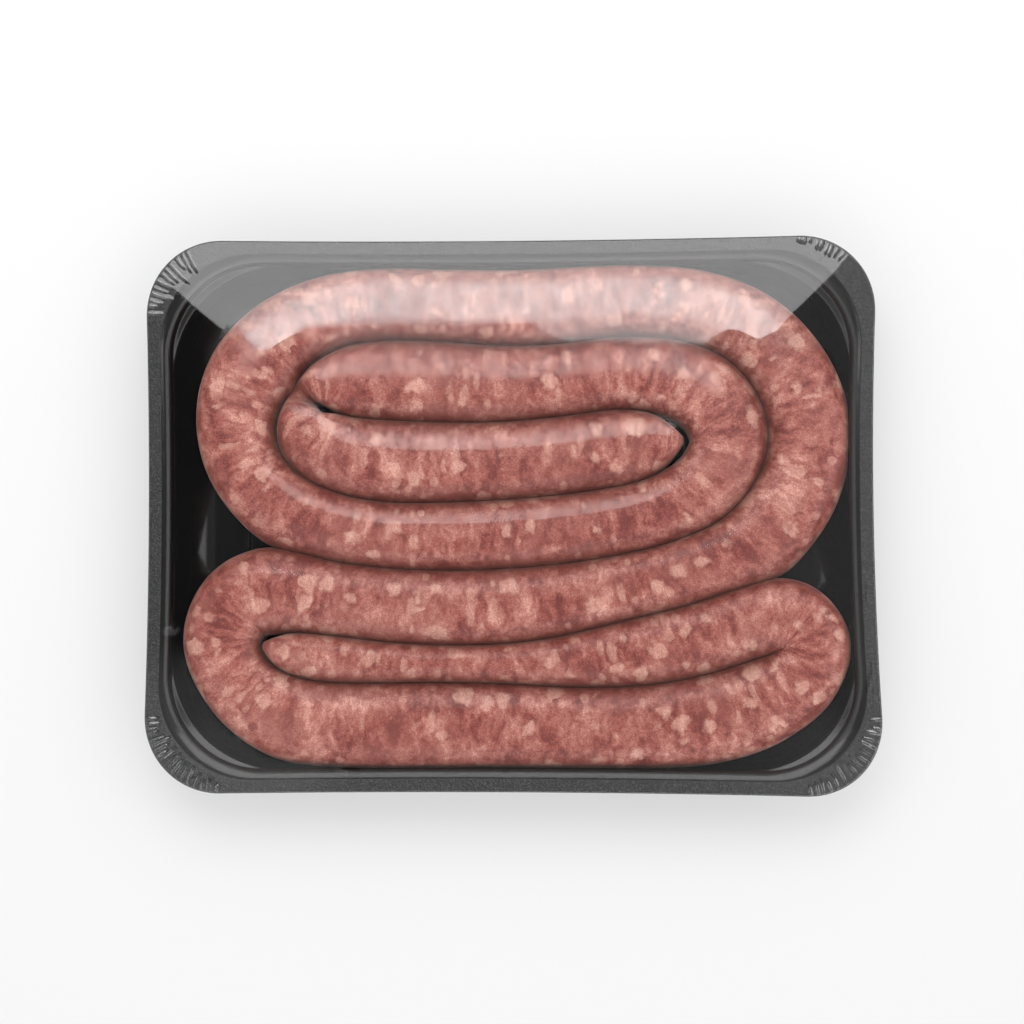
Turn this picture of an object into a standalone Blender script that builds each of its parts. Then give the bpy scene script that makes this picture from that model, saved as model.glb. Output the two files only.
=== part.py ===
"""A film-wrapped tray of raw coarse-ground sausage, lying flat.

Three pieces, each a closed solid: the thin plastic tray, the sausage that is folded to and fro in it, and
the clear stretch film that wraps both.  +Z is up, +X runs along the tray's long side, and the origin is on
the ground under the middle of the pack.  Sizes named below are in millimetres, the meshes are in metres.
"""
from math import ceil, copysign, cos, pi, sin

import bmesh
import bpy
import numpy as np

MM = 0.001

# ---- driving dimensions, mm ------------------------------------------------------------------------------
HALF_LENGTH = 134.0         # tray, middle to the outermost point of the flange, along X
HALF_WIDTH = 101.4          # the same along Y
CORNER_RADIUS = 29.0        # outer corner of the flange
LEFT_BOW = 2.2              # how far the taut film draws in the left side's middle
RIGHT_BOW = 3.5             # the same for the right side
LONG_SIDE_BOW = 1.6         # and for each long side
SKEW = -0.008               # the pack leans this far along X for each mm along Y
RIM_HEIGHT = 26.6           # top of the flange above the ground
SHEET = 0.9                 # thickness of the tray's plastic
CLEARANCE = 0.35            # gap kept between pieces that touch

FLANGE_WIDTH = 5.2          # flat part of the flange
FLANGE_LIP = 2.2            # height of the edge that is turned down
OPENING_RADIUS = 36.0       # inner corner of the flange
LEDGE_HEIGHT = 19.5         # stacking ledge in the corners of the wall
LEDGE_RADIUS = 42.0         # corner of the wall below that ledge
WALL_DRAFT = 0.09           # inward run of the wall for each mm of depth
FLOOR_FILLET = 12.0         # between wall and floor
CHANNEL_WIDTH = 11.5        # sunk border of the floor, round the raised panel
PANEL_RISE = 0.9            # height of that panel above the border

FILM = 0.3                  # thickness of the film's solid
FILM_SHOULDER = 20.0        # the film comes down to the rim over this width
FILM_TUCK = 28.0            # width of film folded under the base

STRAND_HEIGHT = 24.6        # the sausage, pressed a little flat
STRAND_WIDTH = 28.0         # its usual width
SECTION_SQUARENESS = 2.4    # 2 is an ellipse; pressed strands are a little squarer
SECTION_SIDES = 16
STATION_STEP = 14.0         # most between two stations along the strand
STATION_TURN = 17.0         # most degrees that it turns between them
BEND_SHARE = 0.82           # the inner side reaches this share of the way to a bend's centre

ARC_STEPS = 7               # a tray corner's segments
LONG_SIDE_STEPS = 6
SHORT_SIDE_STEPS = 4

# ---- the sausage's route: x, y and half its natural width, mm --------------------------------------------
SHORT_LINK = [
    (63.0, 27.5, 1.2), (60.5, 27.2, 6.0), (55.5, 26.6, 10.2), (47.0, 25.6, 13.2), (32.5, 23.7, 14.2),
    (10.5, 21.0, 14.2), (-19.0, 19.4, 14.5), (-45.0, 20.0, 15.0), (-61.5, 22.2, 14.6), (-71.5, 27.0, 13.2),
    (-76.7, 33.3, 10.4), (-77.8, 39.4, 6.4),
]
TWIST = [(-77.2, 43.0, 1.5), (-76.0, 45.0, 1.5)]
INNER_RUN = [
    (-72.5, 47.4, 7.0), (-67.9, 48.7, 10.4), (-61.5, 49.3, 12.8), (-48.5, 49.7, 14.5), (-26.5, 49.1, 14.8),
    (-4.5, 48.2, 14.0), (18.0, 49.4, 13.4), (40.0, 51.9, 13.3),
]
INNER_RIGHT_BEND = [(56.5, 50.3, 14.2), (71.5, 42.8, 15.2), (78.7, 28.3, 15.2), (70.3, 11.0, 14.6)]
MIDDLE_RUN = [(54.5, 1.8, 12.8), (32.5, -3.3, 12.4), (3.0, -6.5, 12.5), (-26.0, -7.6, 12.3), (-52.7, -6.4, 12.0)]
LEFT_BEND = [
    (-75.5, -0.3, 13.1), (-91.0, 8.4, 13.5), (-100.4, 22.8, 13.5), (-101.6, 38.4, 14.9), (-96.6, 53.3, 15.6),
    (-84.4, 66.2, 15.3),
]
TOP_RUN = [(-67.3, 75.0, 14.0), (-48.8, 77.9, 13.5), (-22.8, 77.2, 13.7), (3.0, 76.3, 14.3), (47.2, 78.6, 13.5)]
RIGHT_BEND = [
    (69.0, 76.1, 13.6), (87.3, 68.3, 14.0), (100.7, 54.0, 14.6), (107.8, 37.1, 14.9), (107.3, 18.8, 15.0),
    (99.6, 1.7, 15.3), (84.0, -12.1, 13.8),
]
CROSS_RUN = [
    (65.0, -19.9, 12.4), (39.7, -26.4, 12.0), (14.2, -31.4, 13.3), (-11.4, -33.6, 13.7), (-40.7, -33.0, 13.6),
    (-62.8, -30.7, 13.6),
]
LEFT_HAIRPIN = [(-83.9, -27.9, 14.7), (-99.8, -30.3, 14.0), (-106.3, -44.3, 14.1), (-99.5, -61.1, 13.9)]
BOTTOM_RUN = [
    (-82.8, -72.9, 15.7), (-62.5, -76.2, 15.5), (-33.2, -76.4, 15.8), (-4.0, -76.2, 15.5), (28.7, -76.9, 14.7),
    (52.3, -76.2, 15.2), (73.0, -73.5, 16.1), (91.6, -67.3, 15.8),
]
RIGHT_HAIRPIN = [(106.0, -58.1, 13.3), (110.8, -46.1, 12.1), (103.3, -36.9, 12.7)]
SQUEEZED_RUN = [
    (89.0, -38.1, 13.6), (68.6, -44.6, 13.0), (48.7, -49.1, 12.4), (32.4, -51.4, 10.7), (14.2, -53.2, 8.4),
    (-7.7, -53.9, 6.8), (-29.6, -53.7, 6.6), (-51.6, -53.0, 7.5), (-70.0, -51.7, 8.6), (-81.0, -50.0, 7.6),
    (-86.7, -48.4, 5.6), (-89.6, -47.4, 3.0), (-90.8, -46.9, 1.0),
]
ROUTE = (
    SHORT_LINK + TWIST + INNER_RUN + INNER_RIGHT_BEND + MIDDLE_RUN + LEFT_BEND + TOP_RUN + RIGHT_BEND
    + CROSS_RUN + LEFT_HAIRPIN + BOTTOM_RUN + RIGHT_HAIRPIN + SQUEEZED_RUN
)

# ---- what follows from them ------------------------------------------------------------------------------
BASE = FILM + CLEARANCE                             # underside of the tray
BORDER = BASE + SHEET                               # top of the floor's sunk border
STRAND_BOTTOM = BORDER + PANEL_RISE + CLEARANCE
STRAND_MIDDLE = STRAND_BOTTOM + STRAND_HEIGHT / 2
FILM_UNDER = STRAND_BOTTOM + STRAND_HEIGHT + CLEARANCE


def make_material(name, color, roughness, alpha=1.0):
    material = bpy.data.materials.new(name)
    material.use_nodes = True
    shader = material.node_tree.nodes["Principled BSDF"]
    shader.inputs["Base Color"].default_value = (*color, 1.0)
    shader.inputs["Roughness"].default_value = roughness
    shader.inputs["Metallic"].default_value = 0.0
    shader.inputs["Alpha"].default_value = alpha
    return material


def skin(name, rings, material):
    """A closed solid through a row of rings, each a list of (x, y, z) in mm, with a flat cap on each end."""
    shape = bmesh.new()
    loops = [[shape.verts.new([MM * value for value in point]) for point in ring] for ring in rings]
    for one, other in zip(loops, loops[1:]):
        count = len(one)
        for index in range(count):
            after = (index + 1) % count
            shape.faces.new((one[index], one[after], other[after], other[index]))
    shape.faces.new(loops[0])
    shape.faces.new(loops[-1])
    bmesh.ops.recalc_face_normals(shape, faces=shape.faces)
    mesh = bpy.data.meshes.new(name)
    shape.to_mesh(mesh)
    shape.free()
    mesh.materials.append(material)
    mesh.shade_smooth()
    mesh.set_sharp_from_angle(angle=pi / 5)
    piece = bpy.data.objects.new(name, mesh)
    bpy.context.scene.collection.objects.link(piece)
    return piece


# ---- tray and film: level rings round one outline --------------------------------------------------------
def outline(inset, radius, z):
    """The tray's rounded rectangle, drawn in by `inset`, with its sides bowed inwards, at height z."""
    half_x = HALF_LENGTH - inset
    half_y = HALF_WIDTH - inset
    corners = [(1, 1, 0.0), (-1, 1, pi / 2), (-1, -1, pi), (1, -1, 3 * pi / 2)]
    straight = []
    for number, (side_x, side_y, start) in enumerate(corners):
        center_x = side_x * (half_x - radius)
        center_y = side_y * (half_y - radius)
        for step in range(ARC_STEPS + 1):
            angle = start + step * pi / 2 / ARC_STEPS
            straight.append((center_x + radius * cos(angle), center_y + radius * sin(angle)))
        next_x, next_y, next_start = corners[(number + 1) % 4]
        target = (
            next_x * (half_x - radius) + radius * cos(next_start),
            next_y * (half_y - radius) + radius * sin(next_start),
        )
        origin = straight[-1]
        steps = SHORT_SIDE_STEPS if number % 2 else LONG_SIDE_STEPS
        for step in range(1, steps):
            share = step / steps
            straight.append(tuple(a + (b - a) * share for a, b in zip(origin, target)))
    ring = []
    for x, y in straight:
        pull_x = (RIGHT_BOW if x > 0 else LEFT_BOW) * (1 - (y / half_y) ** 2)
        pull_y = LONG_SIDE_BOW * (1 - (x / half_x) ** 2)
        ring.append((x - copysign(pull_x, x) + SKEW * y, y - copysign(pull_y, y), z))
    return ring


def wall_inset(z):
    """Inset of the wall's inner face at height z."""
    return FLANGE_WIDTH + 0.8 + WALL_DRAFT * (RIM_HEIGHT - z)


def tray_profile(offset):
    """(inset, corner radius, z) from the floor's panel up to the flange: offset 0 is the upper face,
    and offset SHEET is the face below it, one sheet thickness away."""
    fillet = FLOOR_FILLET + offset
    fillet_z = BORDER + FLOOR_FILLET
    foot = wall_inset(fillet_z) + FLOOR_FILLET
    rows = [
        (foot + CHANNEL_WIDTH + 1.2 + offset / 2, 30.0, BORDER + PANEL_RISE - offset),
        (foot + CHANNEL_WIDTH + offset / 2, 30.6, BORDER - offset),
    ]
    for degrees in (0, 22, 45, 68, 90):
        turn = degrees * pi / 180
        rows.append((foot - fillet * sin(turn), LEDGE_RADIUS - 2 - 6 * cos(turn), fillet_z - fillet * cos(turn)))
    rows += [
        (wall_inset(LEDGE_HEIGHT) - offset, LEDGE_RADIUS, LEDGE_HEIGHT - offset / 2),
        (wall_inset(LEDGE_HEIGHT) - 0.4 - offset, OPENING_RADIUS, LEDGE_HEIGHT + 1.0 - offset / 2),
        (FLANGE_WIDTH + 0.8 - offset, OPENING_RADIUS, RIM_HEIGHT - 1.0 - offset),
        (FLANGE_WIDTH - offset, OPENING_RADIUS - 1, RIM_HEIGHT - offset),
    ]
    return rows


def build_tray(material):
    flange_edge = [
        (0.7, CORNER_RADIUS - 0.7, RIM_HEIGHT),
        (0.0, CORNER_RADIUS, RIM_HEIGHT - 0.7),
        (0.0, CORNER_RADIUS, RIM_HEIGHT - FLANGE_LIP),
        (SHEET, CORNER_RADIUS - SHEET, RIM_HEIGHT - FLANGE_LIP),
        (SHEET, CORNER_RADIUS - SHEET, RIM_HEIGHT - SHEET),
    ]
    profile = tray_profile(0.0) + flange_edge + tray_profile(SHEET)[::-1]
    return skin("tray", [outline(inset, radius, z) for inset, radius, z in profile], material)


def film_profile(offset):
    """(inset, corner radius, z) of the film's outer face at offset 0, or its inner face at offset FILM.
    It is taut from the turned-down lip to the tray's fillet, which it follows to the base."""
    top = FILM_UNDER + FILM
    rim = RIM_HEIGHT + CLEARANCE + FILM
    edge = -CLEARANCE - FILM
    fillet = FLOOR_FILLET + SHEET + CLEARANCE + FILM - offset
    fillet_z = BORDER + FLOOR_FILLET
    foot = wall_inset(fillet_z) + FLOOR_FILLET
    rows = [
        (FILM_SHOULDER, 22.0, top - offset),
        (1.0, CORNER_RADIUS - 1.0, rim - offset),
        (edge + offset, CORNER_RADIUS + 0.6 - offset, rim - 1.0 - offset / 2),
        (edge + offset, CORNER_RADIUS + 0.6 - offset, RIM_HEIGHT - FLANGE_LIP - 1.0),
    ]
    for degrees in (64, 45, 22, 0):
        turn = degrees * pi / 180
        rows.append((foot - fillet * sin(turn), LEDGE_RADIUS - 2 - 6 * cos(turn), fillet_z - fillet * cos(turn)))
    rows.append((foot + FILM_TUCK, 30.0, offset))
    return rows


def build_film(material):
    profile = film_profile(0.0) + film_profile(FILM)[::-1]
    return skin("film", [outline(inset, radius, z) for inset, radius, z in profile], material)


# ---- sausage: one skin swept along the route -------------------------------------------------------------
def smooth_route(points):
    """Stations (x, y, half width) on a smooth curve through the route's points, closer where it bends."""
    points = np.array(points)
    chords = np.hypot(*np.diff(points[:, :2], axis=0).T)
    along = np.concatenate([[0.0], np.cumsum(chords)])
    tangents = np.gradient(points, along, axis=0)
    headings = np.degrees(np.unwrap(np.arctan2(tangents[:, 1], tangents[:, 0])))
    turns = abs(np.diff(headings))
    stations = []
    for index, (chord, turn) in enumerate(zip(chords, turns)):
        count = max(ceil(chord / STATION_STEP), round(turn / STATION_TURN))
        for part in range(count):
            u = part / count
            stations.append(
                (1 + 2 * u) * (1 - u) ** 2 * points[index]
                + u * (1 - u) ** 2 * chord * tangents[index]
                + u ** 2 * (3 - 2 * u) * points[index + 1]
                - u ** 2 * (1 - u) * chord * tangents[index + 1]
            )
    stations.append(points[-1])
    return np.array(stations)


def inside_wall(x, y):
    """How far a point at the strand's middle height lies inside the tray's wall, less the clearance."""
    x = x - SKEW * y
    bow_x = (RIGHT_BOW if x > 0 else LEFT_BOW) * (1 - (y / HALF_WIDTH) ** 2)
    bow_y = LONG_SIDE_BOW * (1 - (x / HALF_LENGTH) ** 2)
    inset = wall_inset(STRAND_MIDDLE) + CLEARANCE
    return min(HALF_LENGTH - inset - bow_x - abs(x), HALF_WIDTH - inset - bow_y - abs(y))


def side_reach(stations, side):
    """Half width on one side (1 left, -1 right): the natural one, or less where the strand presses on its
    neighbour or on the wall, or bends tightly.  Two strands share the room between them by their widths."""
    places = stations[:, :2]
    widths = stations[:, 2]
    forward = np.gradient(places, axis=0)
    speed = np.hypot(*forward.T)
    forward /= speed[:, None]
    normals = side * np.stack([-forward[:, 1], forward[:, 0]], axis=1)
    along = np.concatenate([[0.0], np.cumsum(np.hypot(*np.diff(places, axis=0).T))])
    turning = side * np.gradient(np.unwrap(np.arctan2(forward[:, 1], forward[:, 0]))) / speed
    reach = np.empty(len(stations))
    for index, (place, width, normal) in enumerate(zip(places, widths, normals)):
        limit = width
        if turning[index] > 0:
            limit = min(limit, BEND_SHARE / turning[index])
        apart = abs(along - along[index])
        others = apart > 1.2 * (widths + width) + 6
        for offset in np.arange(0.4, width + CLEARANCE, 0.1):
            point = place + offset * normal
            shares = np.hypot(*(places[others] - point).T) / widths[others]
            if offset / width > shares.min() or inside_wall(*point) < 0:
                limit = min(limit, offset - CLEARANCE / 2 - 0.1)
                break
        reach[index] = limit
    padded = np.pad(reach, 1, mode="edge")
    smoothed = (padded[:-2] + 2 * padded[1:-1] + padded[2:]) / 4
    return normals, np.minimum(reach, smoothed)


def section_height(width):
    """Half height of a section of this half width: full in the strand, falling to a point at its ends."""
    share = min(1.0, 2 * width / STRAND_WIDTH)
    return STRAND_HEIGHT / 2 * (1 - (1 - share) ** 2.2)


def build_sausage(material):
    stations = smooth_route(ROUTE)
    left_normals, left = side_reach(stations, 1)
    right = side_reach(stations, -1)[1]
    power = 2 / SECTION_SQUARENESS
    rings = []
    for (x, y, width), normal, left_width, right_width in zip(stations, left_normals, left, right):
        height = section_height(width)
        ring = []
        for side in range(SECTION_SIDES):
            angle = 2 * pi * side / SECTION_SIDES
            across = abs(cos(angle)) ** power * (left_width if cos(angle) > 0 else -right_width)
            up = abs(sin(angle)) ** power * (height if sin(angle) > 0 else -height)
            ring.append((x + across * normal[0], y + across * normal[1], STRAND_MIDDLE + up))
        rings.append(ring)
    return skin("sausage", rings, material)


for leftover in list(bpy.data.objects):
    bpy.data.objects.remove(leftover)

build_tray(make_material("black_plastic", (0.012, 0.012, 0.013), 0.35))
build_sausage(make_material("raw_meat", (0.42, 0.14, 0.11), 0.4))
build_film(make_material("clear_film", (0.9, 0.9, 0.9), 0.08, alpha=0.2))
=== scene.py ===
"""The looks of the film-wrapped tray of raw sausage: a fine sausage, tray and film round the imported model.

Lengths named *_MM and every number in ROUTE are in millimetres; objects are made in metres.
"""
from math import ceil, cos, pi, radians, sin

import bmesh
import bpy
import numpy as np
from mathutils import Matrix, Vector, noise
from mathutils.bvhtree import BVHTree
from mathutils.geometry import delaunay_2d_cdt


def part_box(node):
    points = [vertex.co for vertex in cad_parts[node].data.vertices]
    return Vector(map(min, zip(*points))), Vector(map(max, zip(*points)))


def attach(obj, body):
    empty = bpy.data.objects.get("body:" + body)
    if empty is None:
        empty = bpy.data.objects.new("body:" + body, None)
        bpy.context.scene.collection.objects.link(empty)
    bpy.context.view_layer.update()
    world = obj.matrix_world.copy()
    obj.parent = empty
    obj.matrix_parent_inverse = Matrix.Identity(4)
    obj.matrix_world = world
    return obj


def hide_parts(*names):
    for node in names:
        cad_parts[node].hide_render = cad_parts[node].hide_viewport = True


MM = 0.001

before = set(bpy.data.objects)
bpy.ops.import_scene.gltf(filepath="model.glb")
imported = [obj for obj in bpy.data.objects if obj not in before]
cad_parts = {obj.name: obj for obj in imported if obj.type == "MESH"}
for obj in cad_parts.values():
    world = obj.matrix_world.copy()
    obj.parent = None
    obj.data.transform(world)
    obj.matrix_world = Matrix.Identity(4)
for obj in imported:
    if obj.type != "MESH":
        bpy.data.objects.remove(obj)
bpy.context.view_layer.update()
tray_low, tray_high = (np.array(corner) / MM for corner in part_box("tray"))
strand_low, strand_high = (np.array(corner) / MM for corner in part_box("sausage"))
film_low, film_high = (np.array(corner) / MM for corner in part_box("film"))

# ---- the tray's and the film's sizes, mm -----------------------------------------------------------------
HALF_LENGTH = 134.0
HALF_WIDTH = 101.4
CORNER_RADIUS = 29.0
LEFT_BOW = 2.2
RIGHT_BOW = 3.5
LONG_SIDE_BOW = 1.6
SKEW = -0.008
RIM_HEIGHT = float(tray_high[2])
SHEET = 0.9
FLANGE_WIDTH = 5.2
ROLL_WIDTH = 4.1            # of the soft shoulder from the flange down into the wall
ROLL_DROP = 2.2
FLANGE_LIP = 2.2
OPENING_RADIUS = 36.0
LEDGE_HEIGHT = 19.5
LEDGE_RADIUS = 42.0
WALL_DRAFT = 0.09
FLOOR_FILLET = 12.0
CHANNEL_WIDTH = 11.5
PANEL_RISE = 0.9
BORDER = float(tray_low[2]) + SHEET

STRAND_MIDDLE = float(strand_low[2] + strand_high[2]) / 2
STRAND_HEIGHT = float(strand_high[2] - strand_low[2])
STRAND_WIDTH = 28.0

# ---- the sausage's route, as in the CAD: x, y and half its natural width, mm -----------------------------
SHORT_LINK = [
    (63.0, 27.5, 1.2), (60.5, 27.2, 6.0), (55.5, 26.6, 10.2), (47.0, 25.6, 13.2), (32.5, 23.7, 14.2),
    (10.5, 21.0, 14.2), (-19.0, 19.4, 14.5), (-45.0, 20.0, 15.0), (-61.5, 22.2, 14.6), (-71.5, 27.0, 13.2),
    (-76.7, 33.3, 10.4), (-77.8, 39.4, 6.4),
]
TWIST = [(-77.2, 43.0, 1.5), (-76.0, 45.0, 1.5)]
INNER_RUN = [
    (-72.5, 47.4, 7.0), (-67.9, 48.7, 10.4), (-61.5, 49.3, 12.8), (-48.5, 49.7, 14.5), (-26.5, 49.1, 14.8),
    (-4.5, 48.2, 14.0), (18.0, 49.4, 13.4), (40.0, 51.9, 13.3),
]
INNER_RIGHT_BEND = [(56.5, 50.3, 14.2), (71.5, 42.8, 15.2), (78.7, 28.3, 15.2), (70.3, 11.0, 14.6)]
MIDDLE_RUN = [(54.5, 1.8, 12.8), (32.5, -3.3, 12.4), (3.0, -6.5, 12.5), (-26.0, -7.6, 12.3), (-52.7, -6.4, 12.0)]
LEFT_BEND = [
    (-75.5, -0.3, 13.1), (-91.0, 8.4, 13.5), (-100.4, 22.8, 13.5), (-101.6, 38.4, 14.9), (-96.6, 53.3, 15.6),
    (-84.4, 66.2, 15.3),
]
TOP_RUN = [(-67.3, 75.0, 14.0), (-48.8, 77.9, 13.5), (-22.8, 77.2, 13.7), (3.0, 76.3, 14.3), (47.2, 78.6, 13.5)]
RIGHT_BEND = [
    (69.0, 76.1, 13.6), (87.3, 68.3, 14.0), (100.7, 54.0, 14.6), (107.8, 37.1, 14.9), (107.3, 18.8, 15.0),
    (99.6, 1.7, 15.3), (84.0, -12.1, 13.8),
]
CROSS_RUN = [
    (65.0, -19.9, 12.4), (39.7, -26.4, 12.0), (14.2, -31.4, 13.3), (-11.4, -33.6, 13.7), (-40.7, -33.0, 13.6),
    (-62.8, -30.7, 13.6),
]
LEFT_HAIRPIN = [(-83.9, -27.9, 14.7), (-99.8, -30.3, 14.0), (-106.3, -44.3, 14.1), (-99.5, -61.1, 13.9)]
BOTTOM_RUN = [
    (-82.8, -72.9, 15.7), (-62.5, -76.2, 15.5), (-33.2, -76.4, 15.8), (-4.0, -76.2, 15.5), (28.7, -76.9, 14.7),
    (52.3, -76.2, 15.2), (73.0, -73.5, 16.1), (91.6, -67.3, 15.8),
]
RIGHT_HAIRPIN = [(106.0, -58.1, 13.3), (110.8, -46.1, 12.1), (103.3, -36.9, 12.7)]
SQUEEZED_RUN = [
    (89.0, -38.1, 13.6), (68.6, -44.6, 13.0), (48.7, -49.1, 12.4), (32.4, -51.4, 10.7), (14.2, -53.2, 8.4),
    (-7.7, -53.9, 6.8), (-29.6, -53.7, 6.6), (-51.6, -53.0, 7.5), (-70.0, -51.7, 8.6), (-81.0, -50.0, 7.6),
    (-86.7, -48.4, 5.6), (-89.6, -47.4, 3.0), (-90.8, -46.9, 1.0),
]
ROUTE = (
    SHORT_LINK + TWIST + INNER_RUN + INNER_RIGHT_BEND + MIDDLE_RUN + LEFT_BEND + TOP_RUN + RIGHT_BEND
    + CROSS_RUN + LEFT_HAIRPIN + BOTTOM_RUN + RIGHT_HAIRPIN + SQUEEZED_RUN
)

# ---- fine sizes of what is modelled here, mm -------------------------------------------------------------
STRAND_GAP = -1.2          # two strands that press on each other overlap by this, so that no slit shows
STATION_SPACING = 1.25
SECTION_SIDES = 72
BEND_SHARE = 1.30           # how far the inner side swells towards a tight bend's centre, as a share
TWIST_SHARE = 1.5           # and more than that next to the twist, where the casing is gathered
FILL_SHARE = 1.35           # a strand swells up to this times its natural width to fill a gap
PRESSED_HEIGHT = 1.03       # its height before the film presses the crest flat, times what it is then
TOP_SOFTNESS = 0.25         # how gently the film flattens a strand's crest
CREASE_SHADE_DEPTH = 4.5          # below the crests, over which painted shade darkens the casing between two strands
FILM_SHEET = 0.04
FILM_REST = 0.05            # the film's height above what it rests on
FILM_GRID = 1.4             # spacing of the film's points over the strands
FILM_SAG = 0.012            # curvature of the film where nothing holds it up, per mm
FILM_PASSES = 1500          # rounds of averaging that settle the film
FILM_SPACING = 1.5          # of the film's points over the strands
UNDERSIDE = 0.06            # height of the film that is folded under the base
WET_GLOSS = 0.5             # the film's share of gloss where it clings wetly to the meat
CREASE_GLOSS = 0.06         # and where it is drawn down moist between two strands
TAUT_GLOSS = 0.9            # what the casing adds to it where taut film lies flat on the farthest strand
WET_EDGE_X = (-104, -98, -91, -84, -76, -70, 8, 18, 70, 100)     # the line south of which it clings wetly
WET_EDGE_Y = (72, 67, 61, 62, 69, 70, 70.5, 64, 62, 60)
FOLD_GLOSS = 1.5            # what the doubled film of a small fold adds to it
SKIRT_GLOSS = 0.4           # the film's share of gloss where it lies on the tray below the rim
FILM_TUCK = 28.0
CORNER_STEPS = 90
LONG_STEPS = 98
SHORT_STEPS = 72


# ---- small helpers ---------------------------------------------------------------------------------------
def link(name, mesh, material, body="root"):
    """A new object with that mesh and material, which rides on the CAD body."""
    piece = bpy.data.objects.new(name, mesh)
    bpy.context.scene.collection.objects.link(piece)
    mesh.materials.append(material)
    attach(piece, body)
    return piece


def mesh_from(name, points, faces):
    """A smooth-shaded mesh from points in mm and faces as tuples of their numbers."""
    mesh = bpy.data.meshes.new(name)
    mesh.from_pydata([tuple(MM * value for value in point) for point in points], [], faces)
    mesh.validate()
    shape = bmesh.new()
    shape.from_mesh(mesh)
    bmesh.ops.recalc_face_normals(shape, faces=shape.faces)
    shape.to_mesh(mesh)
    shape.free()
    mesh.shade_smooth()
    return mesh


def ring_faces(first, second, count):
    """Quads between two closed rings of `count` points that start at those numbers."""
    return [
        (first + i, first + (i + 1) % count, second + (i + 1) % count, second + i)
        for i in range(count)
    ]


def smooth(values, passes, axis=0):
    """Values averaged with their neighbours along a line, its ends held."""
    values = np.array(values, float)
    for _ in range(passes):
        inner = (np.roll(values, 1, axis) + 2 * values + np.roll(values, -1, axis)) / 4
        inner[0], inner[-1] = values[0], values[-1]
        values = inner
    return values


# ---- the tray's outline ----------------------------------------------------------------------------------
def outline(inset, radius, corner_steps=CORNER_STEPS, long_steps=LONG_STEPS, short_steps=SHORT_STEPS):
    """(x, y) points of the tray's rounded rectangle, drawn in by `inset`, its sides bowed inwards."""
    half_x = HALF_LENGTH - inset
    half_y = HALF_WIDTH - inset
    corners = [(1, 1, 0.0), (-1, 1, pi / 2), (-1, -1, pi), (1, -1, 3 * pi / 2)]
    straight = []
    for number, (side_x, side_y, start) in enumerate(corners):
        center_x = side_x * (half_x - radius)
        center_y = side_y * (half_y - radius)
        for step in range(corner_steps + 1):
            angle = start + step * pi / 2 / corner_steps
            straight.append((center_x + radius * cos(angle), center_y + radius * sin(angle)))
        next_x, next_y, next_start = corners[(number + 1) % 4]
        target = np.array([
            next_x * (half_x - radius) + radius * cos(next_start),
            next_y * (half_y - radius) + radius * sin(next_start),
        ])
        origin = np.array(straight[-1])
        steps = short_steps if number % 2 else long_steps
        straight += [tuple(origin + (target - origin) * step / steps) for step in range(1, steps)]
    x, y = np.array(straight).T
    pull_x = np.where(x > 0, RIGHT_BOW, LEFT_BOW) * (1 - (y / half_y) ** 2)
    pull_y = LONG_SIDE_BOW * (1 - (x / half_x) ** 2)
    return np.stack([x - np.sign(x) * pull_x + SKEW * y, y - np.sign(y) * pull_y], axis=1)


def wall_inset(z):
    """Inset of the wall's inner face at height z."""
    return FLANGE_WIDTH + 0.8 + WALL_DRAFT * (RIM_HEIGHT - z)


def ring_mesh(name, profile, close_start, close_end):
    """A skin through level rings, one for each (inset, corner radius, z) of the profile."""
    points = []
    faces = []
    for number, (inset, radius, z) in enumerate(profile):
        ring = outline(inset, radius)
        points += [(x, y, z) for x, y in ring]
        if number:
            faces += ring_faces((number - 1) * len(ring), number * len(ring), len(ring))
    if close_start:
        faces.append(tuple(range(len(ring)))[::-1])
    if close_end:
        faces.append(tuple(range(len(points) - len(ring), len(points))))
    return mesh_from(name, points, faces)


# ---- tray ------------------------------------------------------------------------------------------------
def tray_profile(offset):
    """(inset, corner radius, z) from the floor's panel up to the flange's inner edge, near the CAD's but with
    a softer roll at the top: offset 0 is the upper face, and offset SHEET the face below it."""
    fillet = FLOOR_FILLET + offset
    fillet_z = BORDER + FLOOR_FILLET
    foot = wall_inset(fillet_z) + FLOOR_FILLET + ROLL_WIDTH - 2.2
    step = foot + CHANNEL_WIDTH
    rows = [(step + 6.0, 30.0, BORDER + PANEL_RISE - offset)]
    for share in (0.0, 0.15, 0.4, 0.6, 0.85, 1.0):
        drop = PANEL_RISE * (3 * share ** 2 - 2 * share ** 3)
        rows.append((step + 1.2 * (1 - share) + offset / 2, 30.0 + 0.6 * share, BORDER + PANEL_RISE - drop - offset))
    rows.append((foot + CHANNEL_WIDTH / 2, 32.0, BORDER - offset))
    for degrees in range(0, 91, 9):
        turn = radians(degrees)
        rows.append((foot - fillet * sin(turn), LEDGE_RADIUS - 2 - 6 * cos(turn), fillet_z - fillet * cos(turn)))
    ledge = wall_inset(LEDGE_HEIGHT) + ROLL_WIDTH - 2.2 - offset
    for rise, share in ((-0.4, 0.0), (0.0, 0.03), (0.3, 0.25), (0.5, 0.5), (0.7, 0.75), (1.0, 1.0)):
        radius = LEDGE_RADIUS + (OPENING_RADIUS - LEDGE_RADIUS) * share
        rows.append((ledge - 0.4 * share, radius, LEDGE_HEIGHT + rise - offset / 2))
    for degrees in range(0, 91, 9):
        turn = radians(degrees)
        rows.append((
            FLANGE_WIDTH - 1.0 - offset + ROLL_WIDTH * cos(turn),
            OPENING_RADIUS - 0.7 * (1 - cos(turn)),
            RIM_HEIGHT - offset - ROLL_DROP * (1 - sin(turn)),
        ))
    return rows


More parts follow.
